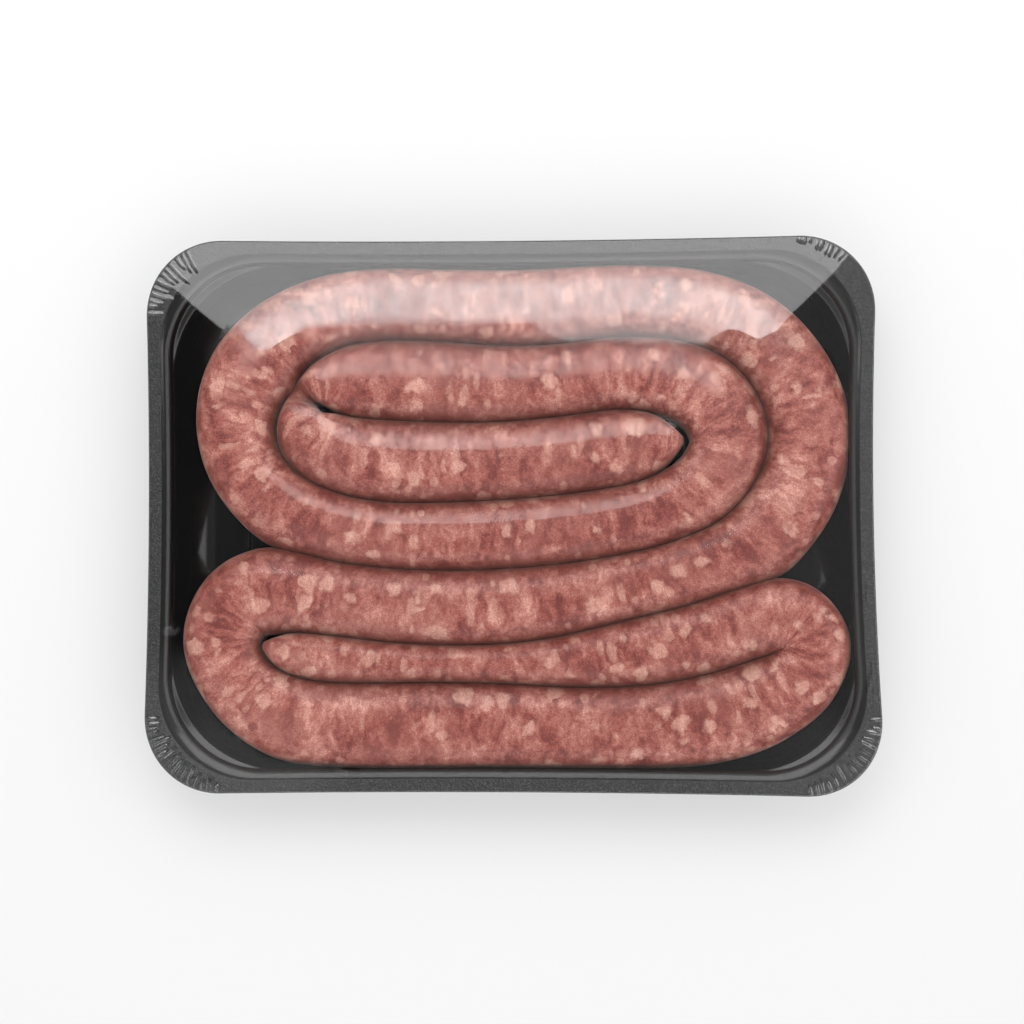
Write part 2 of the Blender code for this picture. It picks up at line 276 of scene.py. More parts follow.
def build_tray(material):
    edge = CORNER_RADIUS
    lip = RIM_HEIGHT - FLANGE_LIP
    flange = [(inset, edge - inset, RIM_HEIGHT) for inset in (3.6, 2.2, 1.1)]
    for degrees in range(0, 91, 15):
        turn = radians(degrees)
        inset = 0.9 * (1 - sin(turn))
        flange.append((inset, edge - inset, RIM_HEIGHT - 0.9 * (1 - cos(turn))))
    flange += [
        (0.0, edge, lip + 0.2), (0.15, edge - 0.15, lip), (SHEET - 0.15, edge - SHEET, lip),
        (SHEET, edge - SHEET, lip + 0.2), (SHEET, edge - SHEET, RIM_HEIGHT - SHEET),
    ]
    profile = tray_profile(0.0) + flange + tray_profile(SHEET)[::-1]
    tray = link("tray_shell", ring_mesh("tray_shell", profile, True, True), material)
    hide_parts("tray")
    return tray


# ---- sausage ---------------------------------------------------------------------------------------------
def dense_route():
    """x, y and half width at close steps on the smooth curve through the route's points, as in the CAD."""
    points = np.array(ROUTE)
    chords = np.hypot(*np.diff(points[:, :2], axis=0).T)
    along = np.concatenate([[0.0], np.cumsum(chords)])
    tangents = np.gradient(points, along, axis=0)
    dense = []
    for index, chord in enumerate(chords):
        for u in np.arange(0, 1, 1 / ceil(chord)):
            dense.append(
                (1 + 2 * u) * (1 - u) ** 2 * points[index]
                + u * (1 - u) ** 2 * chord * tangents[index]
                + u ** 2 * (3 - 2 * u) * points[index + 1]
                - u ** 2 * (1 - u) * chord * tangents[index + 1]
            )
    dense.append(points[-1])
    return np.array(dense)


def resample(line, spacing):
    """The line's points at even steps of about that spacing."""
    along = np.concatenate([[0.0], np.cumsum(np.hypot(*np.diff(line[:, :2], axis=0).T))])
    even = np.linspace(0, along[-1], ceil(along[-1] / spacing) + 1)
    return even, np.stack([np.interp(even, along, column) for column in line.T], axis=1)


def directions(places):
    """Unit tangents and left normals of a line of points, and its curvature, positive to the left."""
    forward = np.gradient(places, axis=0)
    speed = np.hypot(*forward.T)
    forward /= speed[:, None]
    turning = np.gradient(np.unwrap(np.arctan2(forward[:, 1], forward[:, 0]))) / speed
    return forward, np.stack([-forward[:, 1], forward[:, 0]], axis=1), turning


def inside_wall(x, y):
    """How far points at the strand's middle height lie inside the tray's wall, less the gap."""
    x = x - SKEW * y
    bow_x = np.where(x > 0, RIGHT_BOW, LEFT_BOW) * (1 - (y / HALF_WIDTH) ** 2)
    bow_y = LONG_SIDE_BOW * (1 - (x / HALF_LENGTH) ** 2)
    inset = wall_inset(STRAND_MIDDLE) + STRAND_GAP
    return np.minimum(HALF_LENGTH - inset - bow_x - abs(x), HALF_WIDTH - inset - bow_y - abs(y))


def side_reach(along, places, widths, link, side):
    """Half width on one side (1 left, -1 right), and where it presses on a neighbour: the natural width, or
    less where the strand presses on its neighbour or on the wall, or bends tightly.  Two strands share the
    room between them by their widths, and swell a little to fill it."""
    _, normals, turning = directions(places)
    reach = widths.copy()
    packed = np.zeros(len(widths))
    for index, (place, width) in enumerate(zip(places, widths)):
        others = (abs(along - along[index]) > 1.2 * (widths + width) + 6) | (link != link[index])
        offsets = np.arange(0.3, FILL_SHARE * width + STRAND_GAP, 0.1)
        tried = place + side * offsets[:, None] * normals[index]
        apart = np.hypot(*(tried[:, None] - places[others]).T).T / widths[others]
        touches = offsets / width > apart.min(axis=1)
        at_wall = inside_wall(*tried.T) < 0
        if touches.any():
            reach[index] = max(offsets[touches.argmax()] - STRAND_GAP / 2 - 0.1, 0.3)
            packed[index] = 1.0
        if at_wall.any():
            reach[index] = min(reach[index], offsets[at_wall.argmax()] - STRAND_GAP / 2 - 0.1)
    tight = side * turning > 1e-6
    share = np.where(widths < 11, TWIST_SHARE, BEND_SHARE)
    reach[tight] = np.minimum(reach[tight], share[tight] / (side * turning[tight]))
    packed[tight & (side * turning > 0.06)] = 1.0
    return smooth(reach, 3), smooth(packed, 3)


def strand():
    """Everything about the strand at even stations: a dict of arrays."""
    coarse_along, coarse = resample(dense_route(), 4.0)
    twist = np.hypot(*(coarse[:, :2] - TWIST[0][:2]).T).argmin()
    link = (np.arange(len(coarse)) > twist).astype(int)
    left, right = (side_reach(coarse_along, coarse[:, :2], coarse[:, 2], link, side) for side in (1, -1))
    along, fine = resample(dense_route(), STATION_SPACING)
    places = smooth(fine[:, :2], 8)
    widths = fine[:, 2]
    forward, normals, turning = directions(places)
    share = np.minimum(1.0, 2 * widths / STRAND_WIDTH)
    return {
        "along": along,
        "places": places,
        "widths": widths,
        "normals": normals,
        "turning": smooth(turning, 20),
        "left": np.interp(along, coarse_along, left[0]),
        "right": np.interp(along, coarse_along, right[0]),
        "left_packed": np.interp(along, coarse_along, left[1]),
        "right_packed": np.interp(along, coarse_along, right[1]),
        "height": STRAND_HEIGHT / 2 * (1 - (1 - share) ** 4.5),
    }


def surface_noise(points, scale, seed):
    """Smooth noise between about -1 and 1 at each point, with features of that size in mm."""
    shift = Vector((seed * 17.3, seed * 9.1, seed * 5.7))
    return np.array([noise.noise(Vector(point) / scale + shift) for point in points])


def sweep(line):
    """The strand's skin before any relief: points[station, side] in mm, sides counted from the bottom."""
    angles = 2 * pi * np.arange(SECTION_SIDES) / SECTION_SIDES - pi / 2
    cosines, sines = np.cos(angles), np.sin(angles)
    reach = np.where(cosines > 0, line["left"][:, None], line["right"][:, None])
    pressed = 1 - reach / np.maximum(line["widths"][:, None], 0.1)
    inner = np.clip(np.sign(cosines) * line["turning"][:, None] * 14, 0, 1)
    power = 2 / (np.clip(2.7 + 2.0 * pressed, 2.6, 3.1) + 2.0 * inner ** 2)
    across = np.sign(cosines) * abs(cosines) ** power * reach
    up = np.sign(sines) * abs(sines) ** power * line["height"][:, None] * PRESSED_HEIGHT
    flat = line["places"][:, None, :] + across[..., None] * line["normals"][:, None, :]
    return np.concatenate([flat, (STRAND_MIDDLE + up)[..., None]], axis=2)


def skin_faces(stations):
    """The faces of a swept skin with its two ends closed."""
    faces = [tuple(range(SECTION_SIDES))[::-1]]
    for number in range(stations - 1):
        faces += ring_faces(number * SECTION_SIDES, (number + 1) * SECTION_SIDES, SECTION_SIDES)
    faces.append(tuple(range((stations - 1) * SECTION_SIDES, stations * SECTION_SIDES)))
    return faces


def press_crests(points):
    """Flattens what stands above the strand's height, and below its underside."""
    top = STRAND_MIDDLE + STRAND_HEIGHT / 2
    points[..., 2] = top - TOP_SOFTNESS * np.logaddexp(0, (top - points[..., 2]) / TOP_SOFTNESS)
    points[..., 2] = np.maximum(points[..., 2], STRAND_MIDDLE - STRAND_HEIGHT / 2)
    return points


def relief(line, points):
    """How far each point of the skin is moved outwards, mm: broad swellings, lumps of meat under the casing,
    and creases that run across the strand, deepest on the inner side of its bends."""
    count = len(line["along"])
    flat = points.reshape(-1, 3)
    angles = 2 * pi * np.arange(SECTION_SIDES) / SECTION_SIDES - pi / 2
    lumps = 0.30 * surface_noise(flat, 15.0, 1) + 0.20 * surface_noise(flat, 6.5, 2)
    lumps = (lumps + 0.10 * surface_noise(flat, 3.0, 3)).reshape(count, SECTION_SIDES)
    tightness = np.clip(abs(line["turning"]) * 22, 0, 1)[:, None]
    inner = np.clip(np.sign(line["turning"])[:, None] * np.cos(angles), 0, 1)
    around = angles[None, :] * line["widths"][:, None]
    grain = np.stack([
        np.repeat(line["along"], SECTION_SIDES) / 2.1, around.ravel() / 16, np.zeros(len(flat)),
    ], axis=1)
    creases = surface_noise(grain, 1.0, 4).reshape(count, SECTION_SIDES) * tightness * (0.10 + 0.35 * inner)
    free_side = 1 - np.clip((abs(np.cos(angles)) - 0.5) / 0.4, 0, 1)
    slender = np.clip(line["widths"] / 8, 0.15, 1)[:, None]
    return (lumps + creases) * free_side * slender


def keep_in_tray(line, points):
    """Moves what would stand out through the tray's wall back inside it, towards the strand's middle."""
    fillet_z = BORDER + FLOOR_FILLET
    foot = wall_inset(fillet_z) + FLOOR_FILLET + ROLL_WIDTH - 2.2
    for _ in range(3):
        z = points[..., 2]
        below = np.clip((fillet_z - z) / FLOOR_FILLET, 0, 1)
        face = np.where(z < fillet_z, foot - FLOOR_FILLET * np.sqrt(1 - below ** 2), wall_inset(z) + ROLL_WIDTH - 2.2)
        short = np.clip(face + 0.1 - inside_rim(points[..., 0], points[..., 1]), 0, 6)
        short[z > RIM_HEIGHT - ROLL_DROP] = 0
        inwards = line["places"][:, None, :] - points[..., :2]
        inwards /= np.maximum(np.linalg.norm(inwards, axis=2, keepdims=True), 1e-6)
        points[..., :2] += inwards * short[..., None]
    return points


def build_sausage(line, points, sheet, material):
    centers = np.concatenate([line["places"], np.full((len(line["along"]), 1), STRAND_MIDDLE)], axis=1)
    outward = points - centers[:, None, :]
    length = np.maximum(np.linalg.norm(outward, axis=2, keepdims=True), 1e-6)
    points = press_crests(points + outward / length * relief(line, points)[..., None])
    ceiling = sheet_height(sheet["height"], points[..., 0], points[..., 1]) - FILM_REST
    points[..., 2] = np.where(points[..., 2] > STRAND_MIDDLE, np.minimum(points[..., 2], ceiling), points[..., 2])
    points = keep_in_tray(line, points)
    mesh = mesh_from("sausage_casing", points.reshape(-1, 3), skin_faces(len(points)))
    angles = 2 * pi * np.arange(SECTION_SIDES) / SECTION_SIDES
    packed = np.where(np.sin(angles) > 0, line["left_packed"][:, None], line["right_packed"][:, None])
    # the crease attribute: how much painted shade darkens the casing, deeper below the crest where the strand is
    # packed against a neighbour
    depth = STRAND_MIDDLE + STRAND_HEIGHT / 2 - points[..., 2]
    tightness = np.clip(abs(line["turning"]) * 22, 0, 1)
    for name, values in (
        ("along", np.repeat(line["along"], SECTION_SIDES)),
        ("around", (angles[None, :] * line["widths"][:, None]).ravel()),
        ("tightness", np.repeat(tightness, SECTION_SIDES)),
        ("crease", (packed * np.clip((depth - 0.3) / CREASE_SHADE_DEPTH, 0, 1)).ravel()),
    ):
        mesh.attributes.new(name, "FLOAT", "POINT").data.foreach_set("value", values.astype(np.float32))
    sausage = link("sausage_casing", mesh, material)
    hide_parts("sausage")


# ---- film ------------------------------------------------------------------------------------------------
def heights_below(points, x, y):
    """Height in mm of the strand's skin under each (x, y), or -1 where there is none."""
    tree = BVHTree.FromPolygons([tuple(point) for point in points.reshape(-1, 3)], skin_faces(len(points))[1:-1])
    found = np.full(len(x), -1.0)
    for index, (px, py) in enumerate(zip(x, y)):
        hit = tree.ray_cast(Vector((px, py, 100.0)), Vector((0, 0, -1)))[0]
        if hit is not None:
            found[index] = hit.z
    return found


def spread(values, passes):
    """A grid of values blurred, its border held."""
    for _ in range(passes):
        values[1:-1, 1:-1] = (
            4 * values[1:-1, 1:-1] + values[:-2, 1:-1] + values[2:, 1:-1] + values[1:-1, :-2] + values[1:-1, 2:]
        ) / 8
    return values


def film_sheet(points):
    """The film over the strands as grids on x, y in mm: its height, and its share of gloss, which is less
    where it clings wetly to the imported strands.  It lies on the flange and on the crests, and between them
    it is drawn down a little."""
    x = np.arange(-HALF_LENGTH, HALF_LENGTH + FILM_GRID, FILM_GRID)
    y = np.arange(-HALF_WIDTH, HALF_WIDTH + FILM_GRID, FILM_GRID)
    grid_x, grid_y = np.meshgrid(x, y, indexing="ij")
    below = heights_below(points, grid_x.ravel(), grid_y.ravel()).reshape(grid_x.shape) + FILM_REST
    held = inside_rim(grid_x, grid_y) < FLANGE_WIDTH
    over_strands = np.clip(2 * spread((below > STRAND_MIDDLE).astype(float), 12) - 1, 0, 1)
    drawn = 0.04 + 0.96 * np.clip((60 - grid_y) / 18, 0, 1)
    pull = FILM_SAG * over_strands * drawn * FILM_GRID ** 2
    height = np.where(held, RIM_HEIGHT + FILM_REST, STRAND_MIDDLE + STRAND_HEIGHT / 2 + FILM_REST)
    for _ in range(FILM_PASSES):
        level = (height[:-2, 1:-1] + height[2:, 1:-1] + height[1:-1, :-2] + height[1:-1, 2:] - pull[1:-1, 1:-1]) / 4
        level = np.maximum(level, below[1:-1, 1:-1])
        height[1:-1, 1:-1] = np.where(held[1:-1, 1:-1], RIM_HEIGHT + FILM_REST, level)
    edge = np.interp(grid_x, WET_EDGE_X, WET_EDGE_Y)
    packed = over_strands * np.clip((edge - grid_y) / 1.5, 0, 1)
    touching = spread((height - below < 0.25).astype(float), 3)
    crease = CREASE_GLOSS + 0.25 * np.clip((grid_y - 50) / 8, 0, 1)
    wet = crease + (WET_GLOSS - crease) * touching
    taut = 1 + TAUT_GLOSS * touching * over_strands
    gloss = wet * packed + taut * (1 - packed)
    return {"height": (x, y, height), "gloss": (x, y, gloss)}


def inside_rim(x, y):
    """How far points lie inside the flange's outer edge, mm."""
    x = x - SKEW * y
    bow_x = np.where(x > 0, RIGHT_BOW, LEFT_BOW) * (1 - (y / HALF_WIDTH) ** 2)
    reach_x = HALF_LENGTH - bow_x - abs(x)
    reach_y = HALF_WIDTH - LONG_SIDE_BOW * (1 - (x / HALF_LENGTH) ** 2) - abs(y)
    rounded = CORNER_RADIUS - np.hypot(CORNER_RADIUS - reach_x, CORNER_RADIUS - reach_y)
    in_corner = (reach_x < CORNER_RADIUS) & (reach_y < CORNER_RADIUS)
    return np.where(in_corner, rounded, np.minimum(reach_x, reach_y))


def sheet_height(sheet, x, y):
    """A grid's value at any points, between the grid's own."""
    grid_x, grid_y, values = sheet
    u = np.clip((x - grid_x[0]) / FILM_GRID, 0, len(grid_x) - 1.001)
    v = np.clip((y - grid_y[0]) / FILM_GRID, 0, len(grid_y) - 1.001)
    i, j = u.astype(int), v.astype(int)
    s, t = u - i, v - j
    return (
        values[i, j] * (1 - s) * (1 - t) + values[i + 1, j] * s * (1 - t)
        + values[i, j + 1] * (1 - s) * t + values[i + 1, j + 1] * s * t
    )


CORNER_FOLDS = (              # side in x and y, angles of the first and last fold, spacing and length in mm
    (-1, 1, 0.06, 1.15, 2.7, 8.4), (1, 1, 0.85, 1.55, 2.2, 4.2), (-1, -1, 0.06, 1.55, 2.1, 7.0),
    (1, -1, 0.06, 1.55, 2.8, 8.0),
)


SIDE_FOLDS = (                # x, y, heading and length in mm of stray small folds along the sides
    (-122.6, -28.9, 0.05, 4.2), (-122.4, -30.6, 0.0, 4.0), (-123.5, -40.3, 0.1, 4.6), (128.0, -28.6, 1.4, 3.6),
    (129.8, -56.8, 1.8, 4.0), (128.8, -60.3, 1.3, 5.0), (130.2, -64.5, 1.7, 4.2), (-59.6, -92.6, 0.8, 4.5),
    (-57.6, -93.4, 0.9, 3.6), (-19.2, -93.6, 0.2, 3.4), (-2.0, -94.0, 0.7, 4.4), (33.5, -94.4, 0.4, 3.2),
)


def corner_folds():
    """Where the film is gathered over the four rounded corners, and a few stray folds: x, y, heading, length,
    width, height of each in mm."""
    draw = np.random.default_rng(7)
    folds = []
    for side_x, side_y, first, last, spacing, length in CORNER_FOLDS:
        center = np.array([
            side_x * (HALF_LENGTH - CORNER_RADIUS - 0.6) + SKEW * side_y * HALF_WIDTH,
            side_y * (HALF_WIDTH - CORNER_RADIUS - 0.2),
        ])
        step = spacing / CORNER_RADIUS
        for turn in np.arange(first, last, step):
            turn += draw.uniform(-0.25, 0.25) * step
            heading = np.arctan2(side_y * sin(turn), side_x * cos(turn))
            reach = length * draw.uniform(0.55, 1.1) * (0.55 + 0.45 * sin(2 * turn))
            middle = CORNER_RADIUS - 0.7 - reach / 2
            place = center + middle * np.array([cos(heading), sin(heading)])
            lean = draw.uniform(-0.12, 0.12)
            folds.append((*place, heading + lean, reach, draw.uniform(0.35, 0.6), draw.uniform(0.35, 0.6)))
    return np.array(folds + [(*place, turn, length, 0.35, 0.5) for *place, turn, length in SIDE_FOLDS])


def fold_rise(folds, x, y):
    """How far the folds raise the film at each point."""
    rise = np.zeros(len(x))
    for fold_x, fold_y, heading, length, width, height in folds:
        along = (x - fold_x) * cos(heading) + (y - fold_y) * sin(heading)
        across = (x - fold_x) * -sin(heading) + (y - fold_y) * cos(heading)
        taper = np.clip(1 - (2 * along / length) ** 2, 0, 1)
        rise = np.maximum(rise, height * np.sqrt(taper) * np.exp(-(across / width) ** 2 * 2.2))
    return rise


def skirt_wave(x, y):
    """How far the film below the rim stands out in gathers, 0 to 1: only round the corners."""
    turn = np.arctan2(abs(y) - (HALF_WIDTH - CORNER_RADIUS - 6), abs(x) - (HALF_LENGTH - CORNER_RADIUS - 6))
    share = np.clip(1.5 * (1 - abs(turn - pi / 4) / (pi / 4)), 0, 1)
    corner = 2 * np.sign(x) + np.sign(y)
    return share * (0.5 + 0.5 * np.sin(turn * 38 + corner)) * (0.6 + 0.4 * np.sin(turn * 11 + 2 * corner))


def film_rings():
    """(inset, corner radius, z, gathers) of the film from its flat part over the flange and down to its edge
    underneath.  A z of None is the height of the film over the strands."""
    rim = RIM_HEIGHT + FILM_REST
    rows = [(inset, CORNER_RADIUS - inset, None, 0.0) for inset in (10.5, 9.4, 8.4, 7.5, 6.7, 5.9)]
    rows += [(inset, CORNER_RADIUS - inset, rim, 0.0) for inset in (5.1, 4.3, 3.6, 3.0, 2.4, 1.8, 1.3, 0.9)]
    for degrees in range(0, 91, 18):
        turn = radians(degrees)
        inset = 0.8 * (1 - sin(turn)) - FILM_REST
        rows.append((inset, CORNER_RADIUS - inset, rim - 0.8 * (1 - cos(turn)), 0.0))
    lip = RIM_HEIGHT - FLANGE_LIP
    rows += [(-FILM_REST, CORNER_RADIUS, lip + 0.6, 0.1), (-FILM_REST, CORNER_RADIUS, lip - 0.4, 0.2)]
    fillet = FLOOR_FILLET + SHEET + 0.15
    fillet_z = BORDER + FLOOR_FILLET
    foot = wall_inset(fillet_z) + FLOOR_FILLET
    first = foot - fillet * sin(radians(64))
    first_z = fillet_z - fillet * cos(radians(64))
    for share in (0.12, 0.25, 0.4, 0.55, 0.7, 0.85):
        radius = CORNER_RADIUS + (LEDGE_RADIUS - 2 - CORNER_RADIUS) * share
        rows.append((
            first * share + 0.6 * sin(pi * share), radius, lip - 0.4 + (first_z - lip + 0.4) * share,
            0.2 + 0.6 * share,
        ))
    for degrees in (64, 54, 45, 34, 22, 11, 0):
        turn = radians(degrees)
        z = max(fillet_z - fillet * cos(turn), UNDERSIDE)
        rows.append((foot - fillet * sin(turn), LEDGE_RADIUS - 2 - 6 * cos(turn), z, 0.8 * degrees / 64))
    for share in (0.15, 0.35, 0.6, 0.85, 1.0):
        rows.append((foot + FILM_TUCK * share, 34.0 - 4 * share, UNDERSIDE, 0.0))
    return rows


def film_points(sheet, folds):
    """The film's rings as one array of points in mm, and the number of points in a ring."""
    rings = []
    for inset, radius, z, gathers in film_rings():
        ring = outline(inset, radius)
        x, y = ring.T
        level = sheet_height(sheet["height"], x, y) if z is None else np.full(len(x), z)
        if z is None or z > RIM_HEIGHT - 1.2:
            level = level + fold_rise(folds, x, y)
        if gathers:
            wider = outline(inset - 1.0, radius + 1.0)
            x, y = (ring + (wider - ring) * (gathers * 1.6 * skirt_wave(x, y))[:, None]).T
        if z == UNDERSIDE:
            level = level + 0.18 * np.clip(surface_noise(np.stack([x, y, 0 * x], axis=1), 7.0, 5), 0, 1)
        rings.append(np.stack([x, y, level], axis=1))
    return np.concatenate(rings), len(ring)


def build_film(sheet, folds, material):
    outer, count = film_points(sheet, folds)
    faces = []
    for start in range(0, len(outer) - count, count):
        faces += ring_faces(start, start + count, count)
    step_y = FILM_SPACING * sin(pi / 3)
    rows = enumerate(np.arange(-HALF_WIDTH, HALF_WIDTH, step_y))
    shifts = [(y, FILM_SPACING / 2 * (number % 2)) for number, y in rows]
    spots = [(x, y) for y, shift in shifts for x in np.arange(-HALF_LENGTH + shift, HALF_LENGTH, FILM_SPACING)]
    spots = [Vector(spot) for spot in spots if inside_rim(*spot) > 10.5 + 0.6 * FILM_SPACING]
    border = [Vector(point[:2]) for point in outer[:count]]
    edges = [(i, (i + 1) % count) for i in range(count)]
    flat, _, triangles, *_ = delaunay_2d_cdt(border + spots, edges, [], 1, 1e-6)
    x, y = np.array(flat[count:]).T
    middle = np.stack([x, y, sheet_height(sheet["height"], x, y)], axis=1)
    shift = len(outer) - count
    for triangle in triangles:
        faces.append(tuple(index if index < count else shift + index for index in triangle))
    points = np.concatenate([outer, middle])
    mesh = mesh_from("film_wrap", points, faces)
    gloss = np.ones(len(points))
    drawn_out = middle * (1.0, 0.35, 1.0)
    patches = 1 + 0.35 * surface_noise(middle, 6.0, 8) + 0.55 * surface_noise(drawn_out, 2.4, 9)
    share = sheet_height(sheet["gloss"], x, y)
    gloss[len(outer):] = np.where(share < 0.9, share, share - 1) * np.clip(patches, 0.1, 1.8) + (share >= 0.9)
    below_rim = outer[:, 2] < RIM_HEIGHT - 1.5
    folded = FOLD_GLOSS * np.clip(fold_rise(folds, *outer[:, :2].T) / 0.4, 0, 1)
    gathered = 0.8 * skirt_wave(*outer[:, :2].T) ** 3
    gloss[:len(outer)] = np.where(below_rim, SKIRT_GLOSS + gathered, 1 + folded)
    mesh.attributes.new("faces_seen", "FLOAT", "POINT").data.foreach_set("value", gloss.astype(np.float32))
    film = link("film_wrap", mesh, material)
    solid = film.modifiers.new("thickness", "SOLIDIFY")
    solid.thickness = FILM_SHEET * MM
    solid.offset = 0
    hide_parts("film")


# ---- materials -------------------------------------------------------------------------------------------
class Nodes:
    """Adds nodes to a material or world and joins them: a socket as a value is linked, a number is set."""

    def __init__(self, tree):
        self.tree = tree
        tree.nodes.clear()

    def set(self, socket, value):
        if isinstance(value, bpy.types.NodeSocket):
            self.tree.links.new(value, socket)
        else:
            socket.default_value = value

    def add(self, kind, settings=None, inputs=None):
        node = self.tree.nodes.new(kind)
        for name, value in (settings or {}).items():
            setattr(node, name, value)
        for name, value in (inputs or {}).items():
            self.set(node.inputs[name], value)
        return node

    def math(self, operation, first, second=0.0, third=0.0, clamp=False):
        node = self.add("ShaderNodeMath", {"operation": operation, "use_clamp": clamp})
        for socket, value in zip(node.inputs, (first, second, third)):
            self.set(socket, value)
        return node.outputs[0]

    def vector(self, operation, first, second=None, scale=None):
        node = self.add("ShaderNodeVectorMath", {"operation": operation})
        self.set(node.inputs[0], first)
        if second is not None:
            self.set(node.inputs[1], second)
        if scale is not None:
            self.set(node.inputs["Scale"], scale)
        return node.outputs[0]

    def mix(self, share, first, second, blend="MIX"):
        node = self.add("ShaderNodeMix", {"data_type": "RGBA", "blend_type": blend})
        for place, value in ((0, share), (6, first), (7, second)):
            self.set(node.inputs[place], value)
        return node.outputs[2]

    def ramp(self, value, stops, interpolation="LINEAR"):
        """Colours or greys at places between 0 and 1, blended in between."""
        node = self.add("ShaderNodeValToRGB", None, {"Fac": value})
        ramp = node.color_ramp
        ramp.interpolation = interpolation
        while len(ramp.elements) < len(stops):
            ramp.elements.new(0.5)
        for element, (place, color) in zip(ramp.elements, stops):
            element.position = place
            element.color = (*color, 1.0) if isinstance(color, tuple) else (color, color, color, 1.0)
        return node.outputs["Color"]

    def step(self, value, low, high):
        """0 below `low`, 1 above `high`, smooth between; the other way round when low > high."""
        node = self.add("ShaderNodeMapRange", {"interpolation_type": "SMOOTHSTEP"}, {"Value": value})
        node.inputs["From Min"].default_value = min(low, high)
        node.inputs["From Max"].default_value = max(low, high)
        if low > high:
            node.inputs["To Min"].default_value = 1.0
            node.inputs["To Max"].default_value = 0.0
        return node.outputs[0]

    def noise(self, place, size, detail=2.0, roughness=0.5):
        node = self.add("ShaderNodeTexNoise", None, {
            "Vector": place, "Scale": 1 / size, "Detail": detail, "Roughness": roughness,
        })
        return node.outputs

    def cells(self, place, size, smoothness=None, randomness=1.0):
        settings = {"feature": "F1" if smoothness is None else "SMOOTH_F1"}
        node = self.add("ShaderNodeTexVoronoi", settings, {
            "Vector": place, "Scale": 1 / size, "Randomness": randomness,
        })
        if smoothness is not None:
            node.inputs["Smoothness"].default_value = smoothness
        return node.outputs

    def attribute(self, name):
        return self.add("ShaderNodeAttribute", {"attribute_name": name}).outputs["Fac"]

    def millimetres(self):
        """The place on the object in mm."""
        place = self.add("ShaderNodeTexCoord").outputs["Object"]
        return self.vector("SCALE", place, scale=1 / MM)

    def warped(self, place, size, amount):
        """The place moved about by up to half of `amount` mm, smoothly over `size` mm."""
        offset = self.vector("SUBTRACT", self.noise(place, size)["Color"], (0.5, 0.5, 0.5))
        return self.vector("ADD", place, self.vector("SCALE", offset, scale=amount))

    def bump(self, height, depth, before=None):
        """A bump whose height 0 to 1 stands for `depth` mm."""
        inputs = {"Height": height, "Distance": depth * MM, "Strength": 1.0}
        if before is not None:
            inputs["Normal"] = before
        return self.add("ShaderNodeBump", None, inputs).outputs[0]

    def finish(self, shader):
        output = self.add("ShaderNodeOutputMaterial")
        self.tree.links.new(shader.outputs[0], output.inputs["Surface"])


def new_material(name):
    material = bpy.data.materials.new(name)
    material.use_nodes = True
    return material, Nodes(material.node_tree)


LEAN = [
    (0.22, (0.145, 0.028, 0.024)),
    (0.38, (0.228, 0.056, 0.044)),
    (0.50, (0.296, 0.090, 0.071)),
    (0.62, (0.349, 0.127, 0.102)),
    (0.76, (0.466, 0.204, 0.163)),
    (0.90, (0.582, 0.300, 0.247)),
]


def fat_pieces(nodes, place, size, rarity):
    """Where there are soft-edged pieces of fat, 0 to 1: in cells of that size in mm, fewer for a high rarity."""
    cell = nodes.cells(place, size)
    parts = nodes.add("ShaderNodeSeparateColor", None, {"Color": cell["Color"]}).outputs
    reach = nodes.math("MULTIPLY_ADD", parts[1], 0.20, 0.24)
    piece = nodes.step(nodes.math("SUBTRACT", reach, cell["Distance"]), -0.10, 0.11)
    return nodes.math("MULTIPLY", piece, nodes.step(parts[0], rarity, rarity + 0.08))


